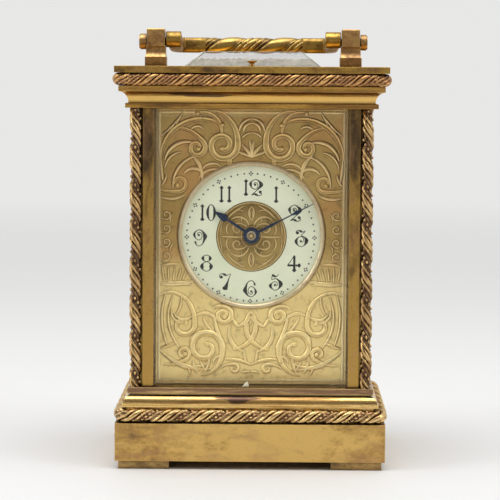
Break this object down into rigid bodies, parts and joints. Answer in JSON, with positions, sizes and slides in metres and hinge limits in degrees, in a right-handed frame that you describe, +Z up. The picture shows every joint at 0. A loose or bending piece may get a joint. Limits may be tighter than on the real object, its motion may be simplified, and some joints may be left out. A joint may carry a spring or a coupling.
{
  "type": "carriage clock",
  "caption": "Small brass carriage clock with bevelled glass sides, folding handle, round enamel dial and a lever movement wound from behind.",
  "frame": {"origin": "middle of the case, on the surface that the feet stand on", "axes": "+Z up, -Y out of the dial, +X to the right of the dial"},
  "size_m": [0.0998, 0.0898, 0.1587],
  "materials": {
    "aged_brass": "aged gilt brass, worn and tarnished",
    "rope_brass": "reddish tarnished brass",
    "gilt_mask": "pale engraved gilt brass",
    "movement_brass": "polished brass",
    "steel": "polished steel",
    "blued_steel": "blued steel",
    "bevelled_glass": "clear bevelled glass",
    "enamel": "vitreous enamel, cream"
  },
  "bodies": {
    "case": {"feet": "aged_brass", "base_plinth": "aged_brass", "base_rope": "rope_brass", "base_moulding": "aged_brass", "front_pillars": "aged_brass", "rear_pillars": "aged_brass", "rope_columns": "rope_brass", "front_glass": "bevelled_glass", "side_glasses": "bevelled_glass", "cornice": "aged_brass", "top_rope": "rope_brass", "top_plate": "aged_brass", "top_glass": "bevelled_glass", "door_hinge_pins": "steel", "handle_posts": "aged_brass", "handle_pivots": "aged_brass", "dial_mask": "gilt_mask", "dial_plate": "gilt_mask", "dial_bezel": "aged_brass", "chapter_ring": "enamel", "dial_centre": "gilt_mask", "dial_screws": "steel", "front_plate": "movement_brass", "back_plate": "movement_brass", "movement_pillars": "movement_brass", "pillar_screws": "steel", "seat_screws": "steel", "click_screw": "steel", "click_spring": "steel", "platform_plate": "movement_brass", "platform_screws": "steel", "balance_cock": "movement_brass", "escape_bridge": "movement_brass", "hairspring": "steel"},
    "door": {"door_frame": "aged_brass", "door_glass": "bevelled_glass", "door_knob": "aged_brass"},
    "handle": {"handle_bail": "aged_brass"},
    "hour_hand": {"hour_hand": "blued_steel", "hour_wheel": "movement_brass"},
    "centre_arbor": {"centre_wheel": "movement_brass", "cannon_pinion": "movement_brass", "minute_hand": "blued_steel", "hand_collet": "aged_brass"},
    "minute_wheel": {"minute_wheel": "movement_brass"},
    "barrel": {"barrel_drum": "movement_brass", "barrel_cover": "movement_brass", "mainspring": "steel"},
    "winding_arbor": {"barrel_arbor": "steel", "ratchet_wheel": "steel"},
    "click": {"click": "steel"},
    "intermediate": {"intermediate_wheel": "movement_brass"},
    "third": {"third_wheel": "movement_brass"},
    "contrate": {"contrate_wheel": "movement_brass"},
    "escape": {"escape_wheel": "movement_brass"},
    "lever": {"pallet_lever": "steel"},
    "balance": {"balance_wheel": "movement_brass"},
    "regulator": {"regulator_index": "steel"}
  },
  "joints": [
    {"name": "handle_fold", "type": "hinge", "parent": "case", "child": "handle", "pos_m": [0, 0, 0.1539], "axis": [1, 0, 0], "range_deg": [0, 187]},
    {"name": "door_swing", "type": "hinge", "parent": "case", "child": "door", "pos_m": [0.0334, 0.0365, 0.0795], "axis": [0, 0, -1], "range_deg": [0, 105]},
    {"name": "contrate_turn", "type": "hinge", "parent": "case", "child": "contrate", "pos_m": [0, 0, 0.1035], "axis": [0, 1, 0], "continuous": true},
    {"name": "centre_turn", "type": "hinge", "parent": "case", "child": "centre_arbor", "pos_m": [0, 0, 0.0838], "axis": [0, 1, 0], "continuous": true},
    {"name": "third_turn", "type": "hinge", "parent": "case", "child": "third", "pos_m": [-0.00534, 0, 0.09481], "axis": [0, 1, 0], "continuous": true},
    {"name": "intermediate_turn", "type": "hinge", "parent": "case", "child": "intermediate", "pos_m": [0.00855, 0, 0.07133], "axis": [0, 1, 0], "continuous": true},
    {"name": "barrel_turn", "type": "hinge", "parent": "case", "child": "barrel", "pos_m": [0, 0, 0.051], "axis": [0, 1, 0], "continuous": true},
    {"name": "escape_turn", "type": "hinge", "parent": "case", "child": "escape", "pos_m": [0, -0.012, 0.115], "axis": [0, 0, 1], "continuous": true},
    {"name": "minute_wheel_turn", "type": "hinge", "parent": "case", "child": "minute_wheel", "pos_m": [0.00594, 0, 0.07786], "axis": [0, 1, 0], "continuous": true},
    {"name": "hour_turn", "type": "hinge", "parent": "case", "child": "hour_hand", "pos_m": [0, 0, 0.0838], "axis": [0, 1, 0], "continuous": true},
    {"name": "winding_turn", "type": "hinge", "parent": "case", "child": "winding_arbor", "pos_m": [0, 0, 0.051], "axis": [0, 1, 0], "continuous": true},
    {"name": "click_lift", "type": "hinge", "parent": "case", "child": "click", "pos_m": [-0.0115, 0, 0.0585], "axis": [0, 1, 0], "range_deg": [0, 12]},
    {"name": "lever_rock", "type": "hinge", "parent": "case", "child": "lever", "pos_m": [0, -0.0064, 0.12], "axis": [0, 0, 1], "range_deg": [-5, 5]},
    {"name": "balance_swing", "type": "hinge", "parent": "case", "child": "balance", "pos_m": [0, 0.003, 0.12], "axis": [0, 0, 1], "range_deg": [-140, 140]},
    {"name": "regulator_shift", "type": "hinge", "parent": "case", "child": "regulator", "pos_m": [0, 0.003, 0.128], "axis": [0, 0, 1], "range_deg": [-25, 65]}
  ],
  "couplings": [
    {"joint": "centre_turn", "follows": "contrate_turn", "ratio": 0.016667},
    {"joint": "third_turn", "follows": "contrate_turn", "ratio": -0.13333},
    {"joint": "intermediate_turn", "follows": "contrate_turn", "ratio": -0.0027778},
    {"joint": "barrel_turn", "follows": "contrate_turn", "ratio": 0.00046296},
    {"joint": "escape_turn", "follows": "contrate_turn", "ratio": -10},
    {"joint": "minute_wheel_turn", "follows": "contrate_turn", "ratio": -0.0055556},
    {"joint": "hour_turn", "follows": "contrate_turn", "ratio": 0.0013889}
  ]
}
